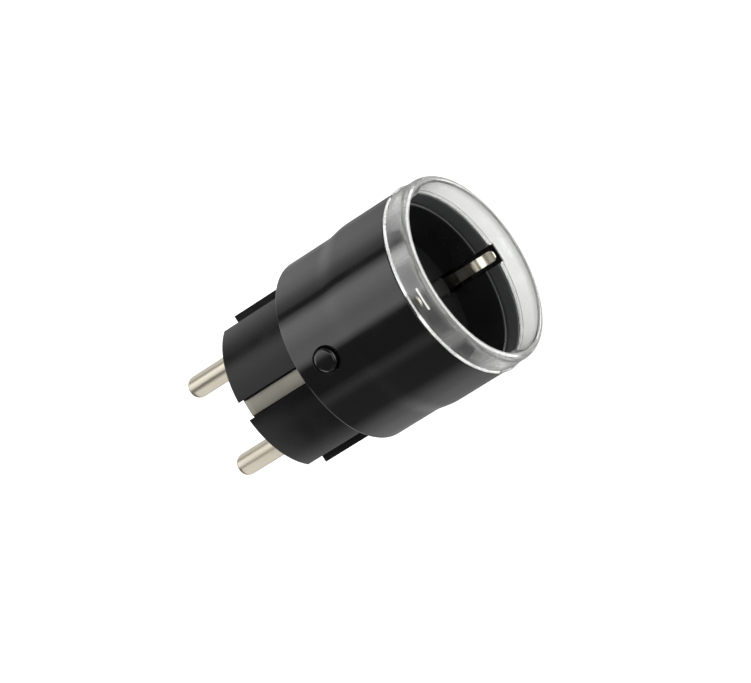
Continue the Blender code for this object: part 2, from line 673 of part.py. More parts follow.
place("fuse_resistor", rod((-FUSE_LENGTH / 2, fuse_y, fuse_station),
                           (FUSE_LENGTH / 2, fuse_y, fuse_station), FUSE_DIAMETER / 2), fuse_body)
rectifier_wide, rectifier_tall, rectifier_long = RECTIFIER_SIZE
rectifier_rear = relay_front + CLEARANCE
place("rectifier", box((-rectifier_wide / 2, power_top, rectifier_rear),
                       (rectifier_wide / 2, power_top + rectifier_tall, rectifier_rear + rectifier_long)),
      chip_black, smooth=False)

# Parts under the control board
under_board = BOARD_HEIGHT - CLEARANCE
capacitor_radius = CAPACITOR_DIAMETER / 2
capacitor_low = CONTACT_WIDTH / 2 + CLEARANCE
board_middle = (board_rear + board_front) / 2
for capacitor_name, side in (("bulk_capacitor_left", -1), ("bulk_capacitor_right", 1)):
    place(capacitor_name, rod((side * pin_x, capacitor_low, board_middle),
                              (side * pin_x, under_board, board_middle), capacitor_radius), can_sleeve)
inductor_station = board_front - CLEARANCE - INDUCTOR_DIAMETER / 2
place("supply_inductor", rod((0, under_board - INDUCTOR_HEIGHT, inductor_station),
                             (0, under_board, inductor_station), INDUCTOR_DIAMETER / 2), chip_black)

# Parts on top of the control board
above_board = board_face + CLEARANCE
switch_half = SWITCH_SIZE / 2
radio_x = switch_half + 2 * CLEARANCE
radio_top = above_board + RADIO_THICKNESS
place("radio_board", box((radio_x, above_board, board_rear + CLEARANCE),
                         (radio_x + RADIO_WIDTH, radio_top, board_front - CLEARANCE)),
      board_green, smooth=False)
place("radio_shield", box((radio_x + SHIELD_MARGIN, radio_top + CLEARANCE, board_rear + SHIELD_MARGIN),
                          (radio_x + RADIO_WIDTH - SHIELD_MARGIN, radio_top + CLEARANCE + SHIELD_HEIGHT,
                           board_middle + 2 * SHIELD_MARGIN), EDGE_ROUNDING / 2), shield_tin)
chip_wide, chip_long, chip_tall = METER_CHIP_SIZE
place("meter_chip", box((-radio_x - chip_wide, above_board, board_middle - chip_long / 2),
                        (-radio_x, above_board + chip_tall, board_middle + chip_long / 2)),
      chip_black, smooth=False)

# Button cap: a domed plunger in the shell's side, kept in by its flange
button_flange = button_radius + BUTTON_FLANGE_LAP
flange_top = chord(narrow_bore, button_flange) - CLEARANCE
flange_low = flange_top - BUTTON_FLANGE_HEIGHT
stem_low = flange_low - BUTTON_STEM
button_top = narrow_radius + BUTTON_PROUD
button_profile = [(0, stem_low), (button_radius - BUTTON_ROUNDING, stem_low)]
button_profile += [
    (button_radius - BUTTON_ROUNDING, flange_low),
    (button_flange, flange_low),
    (button_flange, flange_top),
    (button_radius, flange_top),
]
button_profile += arc((button_radius - BUTTON_ROUNDING, button_top - BUTTON_ROUNDING),
                      BUTTON_ROUNDING, 0, 80)
button_profile += [(0, button_top + CLEARANCE / 2)]


def stand_up(bm, station):
    """Turn a shape spun round the plug's axis so that its axis points up at a station."""
    bmesh.ops.transform(bm, verts=bm.verts, matrix=Matrix.Translation((0, 0, station)) @
                        Matrix.Rotation(-pi / 2, 4, "X"))
    return bm


place("button_cap", stand_up(turned(button_profile, PIN_STEPS), button_station), black_gloss,
      at=(0, stem_low, button_station))

# Tact switch under the button: a moulded body on the control board and the plunger it holds
plunger_top = stem_low - CLEARANCE
switch_top = plunger_top - PLUNGER_PROUD
plunger_low = switch_top - PLUNGER_INSIDE
switch_rear = button_station - switch_half
switch_body = place("switch_body", box((-switch_half, above_board, switch_rear),
                                       (switch_half, switch_top, switch_rear + SWITCH_SIZE)),
                    chip_black, smooth=False)
plunger_radius = PLUNGER_DIAMETER / 2
cut(switch_body, rod((0, plunger_low - PLUNGER_TRAVEL - CLEARANCE, button_station),
                     (0, switch_top + PLUNGER_PROUD, button_station), plunger_radius + CLEARANCE))
place("switch_plunger", rod((0, plunger_low, button_station), (0, plunger_top, button_station),
                            plunger_radius), white_plastic, at=(0, plunger_low, button_station))

# Light ring: clear, with a thin lip at its back edge, guide ribs on the pin line and light pipes
ring_outer = wide_radius + RING_LIP_OVERHANG
ring_side = ring_outer - RING_LIP_STEP
ring_rounding = min(RING_OUTER_ROUNDING, ring_side - band_radius - RING_INNER_ROUNDING)
ring_profile = [
    (band_radius, ring_back),
    (ring_outer, ring_back),
    (ring_outer, ring_back + RING_LIP_HEIGHT),
    (ring_side, ring_back + RING_LIP_HEIGHT + RING_LIP_STEP),
]
ring_profile += arc((ring_side - ring_rounding, mouth_station - ring_rounding), ring_rounding, 0, 90)
ring_profile += arc((band_radius + RING_INNER_ROUNDING, mouth_station - RING_INNER_ROUNDING),
                    RING_INNER_ROUNDING, 90, 180, 2)
ring = place("light_ring", turned(ring_profile), clear_plastic)
guide_half = GUIDE_WIDTH / 2
guide_inner = band_radius - GUIDE_HEIGHT
guide_outer = chord(band_radius - CLEARANCE, guide_half)
guide_root = band_radius + RING_INNER_ROUNDING
guide_rear = insert_front + CLEARANCE
guide_front = mouth_station - GUIDE_SETBACK
guide_shoulder = guide_front - GUIDE_SLOPE
recess_front = tongue_front + EARTH_RECESS_RUN
pipe_inner = band_radius + CLEARANCE / 10
pipe_outer = channel_radius - CLEARANCE
pipe_rear = ring_back - LIGHT_PIPE_LENGTH
pipe_front = ring_back + RING_LIP_HEIGHT / 2
for side in (-1, 1):
    turn = 90 - 90 * side
    fin = prism([(guide_inner, ring_back + CLEARANCE), (guide_root, ring_back + CLEARANCE),
                 (guide_root, guide_front), (guide_inner, guide_shoulder)], -guide_half, guide_half)
    bmesh.ops.transform(fin, matrix=lay_flat, verts=fin.verts)
    bmesh.ops.recalc_face_normals(fin, faces=fin.faces)
    join(ring, about_axis(fin, turn))
    join(ring, about_axis(box((guide_inner + CLEARANCE / 10, -guide_half + CLEARANCE / 10, guide_rear),
                              (guide_outer, guide_half - CLEARANCE / 10, guide_shoulder - CLEARANCE)), turn))
    recess_low = min(side * well_radius, side * (tongue_outer + CLEARANCE))
    recess_high = max(side * well_radius, side * (tongue_outer + CLEARANCE))
    cut(ring, box((-spring_slot_half - CLEARANCE, recess_low, ring_back - CLEARANCE),
                  (spring_slot_half + CLEARANCE, recess_high, recess_front)))
for index, angle in enumerate(LIGHT_PIPE_ANGLES):
    join(ring, about_axis(box((pipe_inner, -LIGHT_PIPE_WIDTH / 2, pipe_rear),
                              (pipe_outer, LIGHT_PIPE_WIDTH / 2, pipe_front)), angle))
    place(f"led_{index + 1}", about_axis(box((pipe_outer - led_thick, -led_wide / 2, led_rear),
                                             (pipe_outer, led_wide / 2, led_front)), angle),
          led_lens, smooth=False)
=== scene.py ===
import json
from math import cos, pi, radians, sin, tan

import bmesh
import bpy
import numpy as np
from mathutils import Matrix, Vector

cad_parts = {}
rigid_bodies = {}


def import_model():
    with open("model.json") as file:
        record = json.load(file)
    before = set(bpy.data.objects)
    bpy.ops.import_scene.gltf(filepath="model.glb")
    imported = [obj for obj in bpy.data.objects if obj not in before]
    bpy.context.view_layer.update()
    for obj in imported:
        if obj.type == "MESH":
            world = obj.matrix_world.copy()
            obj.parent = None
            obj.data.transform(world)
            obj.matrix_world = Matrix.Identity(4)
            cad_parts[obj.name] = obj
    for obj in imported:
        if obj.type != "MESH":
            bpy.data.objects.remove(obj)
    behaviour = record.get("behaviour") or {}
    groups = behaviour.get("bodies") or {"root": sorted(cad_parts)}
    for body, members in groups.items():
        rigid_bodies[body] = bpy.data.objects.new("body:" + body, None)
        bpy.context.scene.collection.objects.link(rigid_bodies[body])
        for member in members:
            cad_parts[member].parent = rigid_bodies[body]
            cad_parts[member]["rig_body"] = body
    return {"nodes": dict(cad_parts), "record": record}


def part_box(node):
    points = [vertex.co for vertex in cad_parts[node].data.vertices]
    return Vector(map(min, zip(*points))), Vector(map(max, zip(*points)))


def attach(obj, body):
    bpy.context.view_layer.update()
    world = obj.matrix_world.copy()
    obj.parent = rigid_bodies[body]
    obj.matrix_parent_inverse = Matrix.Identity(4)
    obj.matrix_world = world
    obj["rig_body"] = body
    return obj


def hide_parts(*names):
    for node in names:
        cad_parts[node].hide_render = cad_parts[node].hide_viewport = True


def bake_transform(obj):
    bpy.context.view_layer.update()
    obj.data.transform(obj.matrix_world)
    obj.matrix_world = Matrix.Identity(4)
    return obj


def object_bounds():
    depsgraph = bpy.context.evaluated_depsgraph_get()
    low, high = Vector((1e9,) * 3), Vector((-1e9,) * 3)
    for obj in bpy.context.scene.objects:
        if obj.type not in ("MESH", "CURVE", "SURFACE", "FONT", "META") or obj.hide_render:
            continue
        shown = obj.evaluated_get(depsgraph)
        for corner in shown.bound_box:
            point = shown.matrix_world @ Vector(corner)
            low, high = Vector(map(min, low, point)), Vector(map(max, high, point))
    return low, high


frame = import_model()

cad_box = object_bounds()
scene = bpy.context.scene

# Plug base. The satin black cup that goes into the wall socket: moulded in thermoplastic, with a
# flat and a guide rib on each side of the pin line, an earth notch above and below, and a flange
# that is caught between the housing's lip and what stands behind it.


def rounded(corners, steps=6):
    """An outline through corners given as (radius, station, rounding): each corner becomes an arc that
    touches both of its sides, its centre found on the line that halves the angle between them."""
    corners = np.array(corners, float)
    spots, sizes = corners[:, :2], corners[:, 2]
    before = np.roll(spots, 1, 0) - spots
    after = np.roll(spots, -1, 0) - spots
    before = before / np.linalg.norm(before, axis=1, keepdims=True)
    after = after / np.linalg.norm(after, axis=1, keepdims=True)
    half = np.arccos(np.clip((before * after).sum(1), -1, 1)) / 2
    halving = before + after
    halving = halving / np.maximum(np.linalg.norm(halving, axis=1, keepdims=True), 1e-9)
    outline = []
    for spot, size, back, onward, middle, angle in zip(spots, sizes, before, after, halving, half):
        if size == 0:
            outline.append(spot[None])
            continue
        centre = spot + middle * size / sin(angle)
        start = spot + back * size / tan(angle) - centre
        end = spot + onward * size / tan(angle) - centre
        share = np.linspace(0, 1, steps + 1)[:, None]
        swing = np.arccos(np.clip((start @ end) / size ** 2, -1, 1))
        arc = (np.sin((1 - share) * swing) * start + np.sin(share * swing) * end) / sin(swing)
        outline.append(centre + arc)
    return np.concatenate(outline)


def turned(outline, steps=192):
    """Grid of a turned shape: an outline point (radius, station) carried round the plug's axis gives
    x = radius cos a, y = station and z = radius sin a, for angles a all the way round."""
    angle = np.linspace(0, 2 * pi, steps, endpoint=False)
    radius, station = outline[:, :1], outline[:, 1:]
    return np.stack([radius * np.cos(angle), station + 0 * angle, radius * np.sin(angle)], -1)


def skin(name, grid, ends="loop"):
    """A mesh of the quads between neighbouring points of a grid whose columns run round. Its rows run
    in a loop too, or its first and last rows are capped with one face each; a sheet stays open."""
    rows, columns = grid.shape[:2]
    index = np.arange(rows * columns).reshape(rows, columns)
    lower = index if ends == "loop" else index[:-1]
    upper = np.roll(index, -1, 0)[:len(lower)]
    quads = np.stack([lower, np.roll(lower, -1, 1), np.roll(upper, -1, 1), upper], -1)
    quads = (quads[:, :-1] if ends == "sheet" else quads).reshape(-1, 4)
    faces = quads.tolist()
    if ends == "caps":
        faces += [index[0].tolist(), index[-1].tolist()]
    mesh = bpy.data.meshes.new(name)
    mesh.from_pydata(grid.reshape(-1, 3).tolist(), [], faces)
    bm = bmesh.new()
    bm.from_mesh(mesh)
    bmesh.ops.remove_doubles(bm, verts=bm.verts, dist=1e-7)
    bmesh.ops.dissolve_degenerate(bm, edges=bm.edges, dist=1e-8)
    bmesh.ops.recalc_face_normals(bm, faces=bm.faces)
    bm.to_mesh(mesh)
    bm.free()
    piece = bpy.data.objects.new(name, mesh)
    scene.collection.objects.link(piece)
    return piece


def block(low, high):
    """Grid of a box: its four upright corners as columns, at its lowest and highest station."""
    x = np.array([low[0], high[0], high[0], low[0]])
    z = np.array([low[2], low[2], high[2], high[2]])
    station = np.array([[low[1]], [high[1]]])
    return np.stack([x + 0 * station, station + 0 * x, z + 0 * station], -1)


def bar(start, end, radius, steps=64):
    """Grid of a round bar: a circle of that radius carried from start to end, square to its axis."""
    start, end = np.array(start, float), np.array(end, float)
    axis = (end - start) / np.linalg.norm(end - start)
    across = np.cross(axis, [0.31, 0.87, 0.41])
    across = across / np.linalg.norm(across)
    beside = np.cross(axis, across)
    angle = np.linspace(0, 2 * pi, steps, endpoint=False)[:, None]
    circle = radius * (np.cos(angle) * across + np.sin(angle) * beside)
    return np.stack([start + circle, end + circle])


def shaped(piece, grid, operation):
    """Cut a capped grid out of a piece, or fuse it on, and keep only the result."""
    tool = skin("tool", grid, ends="caps")
    change = piece.modifiers.new("change", "BOOLEAN")
    change.operation = operation
    change.solver = "EXACT"
    change.object = tool
    bpy.context.view_layer.update()
    result = bpy.data.meshes.new_from_object(piece.evaluated_get(bpy.context.evaluated_depsgraph_get()))
    piece.modifiers.clear()
    old = piece.data
    piece.data = result
    result.name = old.name
    bpy.data.meshes.remove(old)
    spare = tool.data
    bpy.data.objects.remove(tool)
    bpy.data.meshes.remove(spare)


def smooth(piece, angle=28):
    """Shade a piece smooth, with every edge sharper than an angle kept crisp."""
    piece.data.shade_smooth()
    piece.data.set_sharp_from_angle(angle=radians(angle))


def shader(name):
    """A new node material, its node tree and its Principled shader."""
    made = bpy.data.materials.new(name)
    made.use_nodes = True
    return made, made.node_tree, made.node_tree.nodes["Principled BSDF"]


def node(tree, kind, links=(), **values):
    """Add a shader node, set its named fields or sockets and link (socket, source socket) pairs."""
    made = tree.nodes.new(kind)
    for key, value in values.items():
        if hasattr(made, key):
            setattr(made, key, value)
        else:
            made.inputs[key.replace("_", " ")].default_value = value
    for socket, source in links:
        tree.links.new(source, made.inputs[socket])
    return made


def own_place(tree):
    """A piece's own coordinates, which are the plug's as its place is in its mesh."""
    return node(tree, "ShaderNodeTexCoord").outputs["Object"]


def clouds_over(tree, place, scale, detail):
    """Soft noise over a place: so many clouds to the metre, with so many finer layers."""
    return node(tree, "ShaderNodeTexNoise", [("Vector", place)], Scale=scale, Detail=detail).outputs["Fac"]


def spread(tree, source, low, high, start=0.3, stop=0.7):
    """Stretch the middle of a pattern's range over a given pair of values."""
    mapped = node(tree, "ShaderNodeMapRange", [("Value", source)])
    for socket, value in (("From Min", start), ("From Max", stop), ("To Min", low), ("To Max", high)):
        mapped.inputs[socket].default_value = value
    return mapped.outputs["Result"]


def blended(tree, share, first, second):
    """Mix two colours by a pattern."""
    mixed = node(tree, "ShaderNodeMix", data_type="RGBA")
    tree.links.new(share, mixed.inputs["Factor"])
    mixed.inputs["A"].default_value = (*first, 1)
    mixed.inputs["B"].default_value = (*second, 1)
    return mixed.outputs["Result"]


def from_axis(tree, place):
    """How far a place is from the plug's axis: its length with the station left out."""
    flattened = node(tree, "ShaderNodeVectorMath", [(0, place)], operation="MULTIPLY")
    flattened.inputs[1].default_value = (1, 0, 1)
    length = node(tree, "ShaderNodeVectorMath", [(0, flattened.outputs[0])], operation="LENGTH")
    return length.outputs["Value"]


def moulded_black(name, dark, light, rough, grain, shine=0.5, inside=None, edge=0.00012):
    """Black moulding: two near blacks in soft clouds, a roughness that wanders, a fine moulded grain
    as bump, and edges eased by a small radius so that they catch the light. Nearer the plug's axis
    than a given radius the mould isn't polished, so the roughness rises there; the tone is turned
    grey there too, which is painted light standing in for the light scattered inside the well."""
    # Painted light: a grey for the tone inside the radius, standing in for light scattered in the well,
    # not a colour of the moulding.
    painted_light_grey = (0.085, 0.087, 0.091, 1)
    unpolished_rise = 0.38
    fade = 0.0001
    made, tree, plastic = shader(name)
    place = own_place(tree)
    clouds = clouds_over(tree, place, 140, 3)
    fine = clouds_over(tree, place, 5200, 2)
    waves = clouds_over(tree, place, 320, 1)
    tone = blended(tree, clouds, dark, light)
    roughness = spread(tree, clouds, *rough)
    if inside:
        away = from_axis(tree, place)
        rise = spread(tree, away, unpolished_rise, 0.0, inside - fade, inside)
        roughness = node(tree, "ShaderNodeMath", [(0, roughness), (1, rise)], operation="ADD").outputs[0]
        # Share of the painted light grey: full inside the radius, none outside it.
        painted_light_share = spread(tree, away, 1.0, 0.0, inside - fade, inside)
        painted_light_mix = node(tree, "ShaderNodeMix", data_type="RGBA")
        tree.links.new(painted_light_share, painted_light_mix.inputs["Factor"])
        tree.links.new(tone, painted_light_mix.inputs["A"])
        painted_light_mix.inputs["B"].default_value = painted_light_grey
        tone = painted_light_mix.outputs["Result"]
    tree.links.new(tone, plastic.inputs["Base Color"])
    tree.links.new(roughness, plastic.inputs["Roughness"])
    eased = node(tree, "ShaderNodeBevel", samples=4, Radius=edge).outputs["Normal"]
    flow = node(tree, "ShaderNodeBump", [("Height", waves), ("Normal", eased)],
                Strength=0.05, Distance=0.00008)
    bump = node(tree, "ShaderNodeBump", [("Height", fine), ("Normal", flow.outputs["Normal"])],
                Strength=grain, Distance=0.00002)
    tree.links.new(bump.outputs["Normal"], plastic.inputs["Normal"])
    plastic.inputs["IOR"].default_value = 1.53
    plastic.inputs["Specular IOR Level"].default_value = shine
    return made


def dress(piece, material, *nodes):
    """Give a piece its material, put it on the body of the node it stands for, and hide that node."""
    piece.data.materials.clear()
    piece.data.materials.append(material)
    body = frame["nodes"][nodes[0]]["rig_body"]
    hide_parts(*nodes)
    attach(piece, body)


gap = 0.0003
beyond = 0.03
past_face = 0.01
plug_radius = 0.0179
face_rounding = 0.0005
face_wall = 0.0025
cavity_radius = 0.0135
cavity_rounding = 0.0006
flange_radius = 0.01865
flange_rounding = 0.0002
flange_thickness = 0.0015
flange_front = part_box("plug_base")[0].y
flange_back = flange_front + flange_thickness
plug_base = skin("plug_base_moulding", turned(rounded([
    (0, 0, 0),
    (plug_radius, 0, face_rounding),
    (plug_radius, flange_back, 0),
    (flange_radius, flange_back, flange_rounding),
    (flange_radius, flange_front, flange_rounding),
    (cavity_radius, flange_front, 0),
    (cavity_radius, -face_wall, cavity_rounding),
    (0, -face_wall, 0),
])))
flat_x = 0.0161
rib_x = 0.0176
rib_root = 0.0143
rib_half = 0.0052
rib_start = 0.0027
notch_half = 0.00205
notch_floor = 0.0152
pin_x = 0.0095
pin_hole = 0.0027
pin_hole_end = -0.006
for side in (-1, 1):
    low, high = sorted((side * flat_x, side * beyond))
    shaped(plug_base, block((low, flange_back + gap, -beyond), (high, past_face, beyond)), "DIFFERENCE")
    low, high = sorted((side * rib_x, side * rib_root))
    shaped(plug_base, block((low, flange_back - gap, -rib_half), (high, -rib_start, rib_half)), "UNION")
    low, high = sorted((side * notch_floor, side * beyond))
    shaped(plug_base, block((-notch_half, -beyond, low), (notch_half, past_face, high)), "DIFFERENCE")
    shaped(plug_base, bar((side * pin_x, past_face, 0), (side * pin_x, pin_hole_end, 0), pin_hole),
           "DIFFERENCE")
smooth(plug_base)
satin_black = moulded_black("satin_black_moulding", (0.010, 0.010, 0.011), (0.017, 0.017, 0.018),
                            (0.20, 0.30), 0.12, shine=0.36)
dress(plug_base, satin_black, "plug_base")

# Pins. Solid turned brass with a bright nickel plate, 4.8 mm thick with rounded tips, riveted through
# the plug's face behind a collar; the plate has faint drawn lines along it and a warm tone.


def plated_metal(name, pale, warm, rough, stretch, grain=0.1):
    """Plated metal: a pale and a warm tone in soft blotches, a roughness that follows drawn streaks and
    the same streaks as shallow lines in the bump. They are stretched along one of the directions."""
    made, tree, metal = shader(name)
    place = own_place(tree)
    drawn = node(tree, "ShaderNodeMapping", [("Vector", place)], Scale=stretch).outputs["Vector"]
    streaks = clouds_over(tree, drawn, 900, 4)
    blotches = clouds_over(tree, place, 260, 2)
    tree.links.new(blended(tree, blotches, pale, warm), metal.inputs["Base Color"])
    tree.links.new(spread(tree, streaks, *rough), metal.inputs["Roughness"])
    lines = node(tree, "ShaderNodeBump", [("Height", streaks)], Strength=grain, Distance=0.00003)
    tree.links.new(lines.outputs["Normal"], metal.inputs["Normal"])
    metal.inputs["Metallic"].default_value = 1.0
    return made


pin_nickel = plated_metal("nickel_plated_brass", (0.85, 0.80, 0.68), (0.78, 0.71, 0.57), (0.30, 0.42),
                          (1, 0.06, 1))
pin_radius = 0.0024
pin_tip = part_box("live_pin")[1].y
tip_rounding = 0.0019
collar_radius = 0.0030
collar_rounding = 0.0002
collar_length = 0.0015
collar_top = -face_wall - gap
collar_foot = collar_top - collar_length
shank_radius = 0.0016
shank_rounding = 0.0003
pin_outline = rounded([
    (0, pin_tip, 0),
    (pin_radius, pin_tip, tip_rounding),
    (pin_radius, collar_top, 0),
    (collar_radius, collar_top, collar_rounding),
    (collar_radius, collar_foot, collar_rounding),
    (shank_radius, collar_foot, 0),
    (shank_radius, flange_front, shank_rounding),
    (0, flange_front, 0),
], steps=10)
for side, pin_name in ((-1, "live_pin"), (1, "neutral_pin")):
    grid = turned(pin_outline, 64)
    grid[..., 0] += side * pin_x
    pin = skin(f"{pin_name}_turned", grid)
    smooth(pin, 40)
    dress(pin, pin_nickel, pin_name)

# Earth strips. Stamped nickel-plated strip lying in each notch of the plug base, its front end eased
# down to the notch floor so that a socket's earth spring rides up on to it.


def strip(path, width, thickness, edge=0.00012, taper=0.0):
    """Grid of a bent strip: a rounded rectangle, width along x and thickness along the path's normal,
    carried along a path of (station, height) points. With a taper, the width closes over that length
    at the path's end as the square root of one minus the square of the share, a round tip."""
    path = np.array(path, float)
    reach = np.gradient(path, axis=0)
    reach = reach / np.linalg.norm(reach, axis=1, keepdims=True)
    normal = np.stack([-reach[:, 1], reach[:, 0]], 1)
    angle = np.linspace(0, 2 * pi, 33)[:-1] + pi / 32
    quarter = np.floor(angle / (pi / 2)) * pi / 2 + pi / 4
    corner_x = np.sign(np.cos(quarter))
    corner_n = np.sign(np.sin(quarter))
    length = np.concatenate([[0], np.cumsum(np.linalg.norm(np.diff(path, axis=0), axis=1))])
    left = length[-1] - length
    closing = np.ones_like(left)
    if taper > 0:
        share = np.clip(1 - left / taper, 0, 0.995)
        closing = np.sqrt(1 - share ** 2)
    x = closing[:, None] * (corner_x * (width / 2 - edge) + edge * np.cos(angle))
    lift = (corner_n * (thickness / 2 - edge) + edge * np.sin(angle))[None]
    spot = path[:, None] + normal[:, None] * lift[..., None]
    return np.stack([x, spot[..., 0], spot[..., 1]], -1)


def curve_through(points, count=48):
    """Points of a smooth curve through given ones: between each two it is a cubic, which leaves and comes
    in along half the step from the point before to the point after."""
    points = np.array(points, float)
    padded = np.concatenate([2 * points[:1] - points[1:2], points, 2 * points[-1:] - points[-2:-1]])
    share = np.linspace(0, len(points) - 1 - 1e-9, count)
    start = np.floor(share).astype(int)
    t = (share - start)[:, None]
    p0, p1, p2, p3 = (padded[start + step] for step in range(4))
    return 0.5 * (2 * p1 + (p2 - p0) * t + (2 * p0 - 5 * p1 + 4 * p2 - p3) * t ** 2
                  + (3 * p1 - p0 - 3 * p2 + p3) * t ** 3)


strip_nickel = plated_metal("nickel_plated_strip", (0.66, 0.64, 0.56), (0.56, 0.53, 0.45), (0.46, 0.58),
                            (1, 0.12, 1))
strip_low, strip_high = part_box("plug_earth_strip_top")
strip_end = strip_high.y
strip_width = strip_high.x - strip_low.x
strip_thickness = strip_high.z - strip_low.z
strip_height = (strip_high.z + strip_low.z) / 2
ease_run = 0.0006
ease_drops = (0.0002, 0.0005)
for side, strip_name in ((1, "plug_earth_strip_top"), (-1, "plug_earth_strip_bottom")):
    path = np.concatenate([[(strip_low.y, side * strip_height)], curve_through([
        (strip_end - 2 * ease_run, side * strip_height),
        (strip_end - ease_run, side * strip_height),
        (strip_end, side * (strip_height - ease_drops[0])),
        (strip_end + ease_run, side * (strip_height - ease_drops[1])),
    ], 24)])
    earth_strip = skin(f"{strip_name}_stamping", strip(path, strip_width, strip_thickness), ends="caps")
    smooth(earth_strip, 40)
    dress(earth_strip, strip_nickel, strip_name)

# Housing shell. One tube of polished black thermoplastic, narrow at the plug end and swelling in a
# shallow S to the socket end, with an inner lip that holds the plug base and a rounded rear rim.

shell_low, shell_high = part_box("housing_shell")
rim = shell_high.y
wide_radius = shell_high.x
narrow_radius = 0.0205
shell_wall = 0.00155
band_radius = wide_radius - shell_wall
narrow_bore = narrow_radius - shell_wall
lip_bore = plug_radius + gap
lip_thickness = 0.0015
lip_front = rim - lip_thickness
rear_length = 0.0110
flare_length = 0.0060
flare_start = rim - rear_length
flare_end = flare_start - flare_length
ring_height = 0.0056
shell_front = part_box("light_ring")[0].y + ring_height + gap
ring_back = shell_front - gap
rim_rounding = 0.0005
edge_rounding = 0.0002
rear = rounded([
    (lip_bore, lip_front, 0),
    (lip_bore, rim, edge_rounding),
    (narrow_radius, rim, rim_rounding),
    (narrow_radius, flare_start, 0),
], steps=10)[:-1]
share = np.linspace(0, 1, 40)[:, None]
swell = np.concatenate([narrow_radius + (wide_radius - narrow_radius) * (1 - np.cos(pi * share)) / 2,
                        flare_start + (flare_end - flare_start) * share], 1)
front = rounded([
    (wide_radius, flare_end, 0),
    (wide_radius, shell_front, edge_rounding),
    (band_radius, shell_front, edge_rounding),
    (band_radius, flare_end, 0),
    (narrow_bore, flare_start, 0),
    (narrow_bore, lip_front, 0),
])[1:]
housing = skin("housing_moulding", turned(np.concatenate([rear, swell, front]), 256))
button_low, button_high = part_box("button_cap")
button_y = (button_low.y + button_high.y) / 2
button_radius = 0.0025
hole_radius = button_radius + gap
hole_foot = 0.015
chamfer_foot = narrow_radius - 0.00035
chamfer_top = narrow_radius + 0.0002
chamfer_width = 0.0006
hole = turned(np.array([(hole_radius, hole_foot), (hole_radius, chamfer_foot),
                        (hole_radius + chamfer_width, chamfer_top)]), 96)[..., [0, 2, 1]]
shaped(housing, hole + np.array([0, button_y, 0]), "DIFFERENCE")
rib_slot = rib_half + gap
past_rim = 0.002
shaped(housing, block((-rib_x - gap, lip_front - gap, -rib_slot), (rib_x + gap, rim + past_rim, rib_slot)),
       "DIFFERENCE")
slot_half = 0.0021
slot_radius = band_radius + 0.0006
tongue_front = shell_low.y
tongue_outer = slot_radius + 0.0003
lap = 0.001
for side in (-1, 1):
    low, high = sorted((side * band_radius, side * tongue_outer))
    shaped(housing, block((-slot_half, tongue_front, low), (slot_half, shell_front + lap, high)), "UNION")
groove_end = -0.0342
past_mouth = -0.06
past_tongue = -0.055
shaped(housing, block((-slot_half - gap, past_mouth, -slot_radius),
                      (slot_half + gap, ring_back + gap / 2, slot_radius)), "DIFFERENCE")
shaped(housing, block((-slot_half, past_tongue, -slot_radius), (slot_half, groove_end, slot_radius)),
       "DIFFERENCE")


def spun(grid, angle):
    """Turn a grid round the plug's axis: x = x cos a - z sin a and z = x sin a + z cos a."""
    turn = radians(angle)
    return grid @ np.array([[cos(turn), 0, sin(turn)], [0, 1, 0], [-sin(turn), 0, cos(turn)]])


pipe_angles = (30, 62, 118, 150)
pipe_half = 0.0010
channel_radius = band_radius + 0.0009
channel_end = -0.0413
channel = block((band_radius - lap, shell_front - lap, -pipe_half - gap),
                (channel_radius, channel_end, pipe_half + gap))
for angle in pipe_angles:
    shaped(housing, spun(channel, angle), "DIFFERENCE")
smooth(housing)
# Inside this radius the housing is rougher and takes a painted light grey for the light scattered in the
# well.
polish_and_painted_light_radius = 0.0200
gloss_black = moulded_black("polished_black_moulding", (0.005, 0.0052, 0.0055), (0.008, 0.0082, 0.0086),
                            (0.09, 0.15), 0.05, shine=1.0, inside=polish_and_painted_light_radius)
dress(housing, gloss_black, "housing_shell")

# Button cap. A small black plunger in the side of the housing, in line with the earth notch, with a
# slightly crowned top and a rounded edge; its flange inside the shell keeps it from falling out.

button_top = button_high.z
crown_drop = 0.00015
crown_rounding = 0.0008
crown_edge = button_radius - 0.0003
shoulder = button_top - 0.0006
shoulder_rounding = 0.0005
stem_foot = button_low.z
stem_radius = 0.0019
catch_radius = 0.0034
catch_top = stem_foot + 0.0011
catch_foot = stem_foot + 0.0003
cap_rounding = 0.0001
cap_outline = rounded([
    (0, button_top, 0),
    (crown_edge, button_top - crown_drop, crown_rounding),
    (button_radius, shoulder, shoulder_rounding),
    (button_radius, catch_top, 0),
    (catch_radius, catch_top, cap_rounding),
    (catch_radius, catch_foot, cap_rounding),
    (stem_radius, catch_foot, 0),
    (stem_radius, stem_foot, cap_rounding),
    (0, stem_foot, 0),
], steps=8)
cap_grid = turned(cap_outline, 96)[..., [0, 2, 1]]
cap_grid[..., 1] += button_y
button_cap = skin("button_cap_moulding", cap_grid)
smooth(button_cap, 35)
dress(button_cap, gloss_black, "button_cap")

# Socket insert. The black cup that an appliance plug goes into: a thin wall up to a ledge inside the
# housing, a floor with two pin holes, and a raised bar between the two slots for the earth springs.

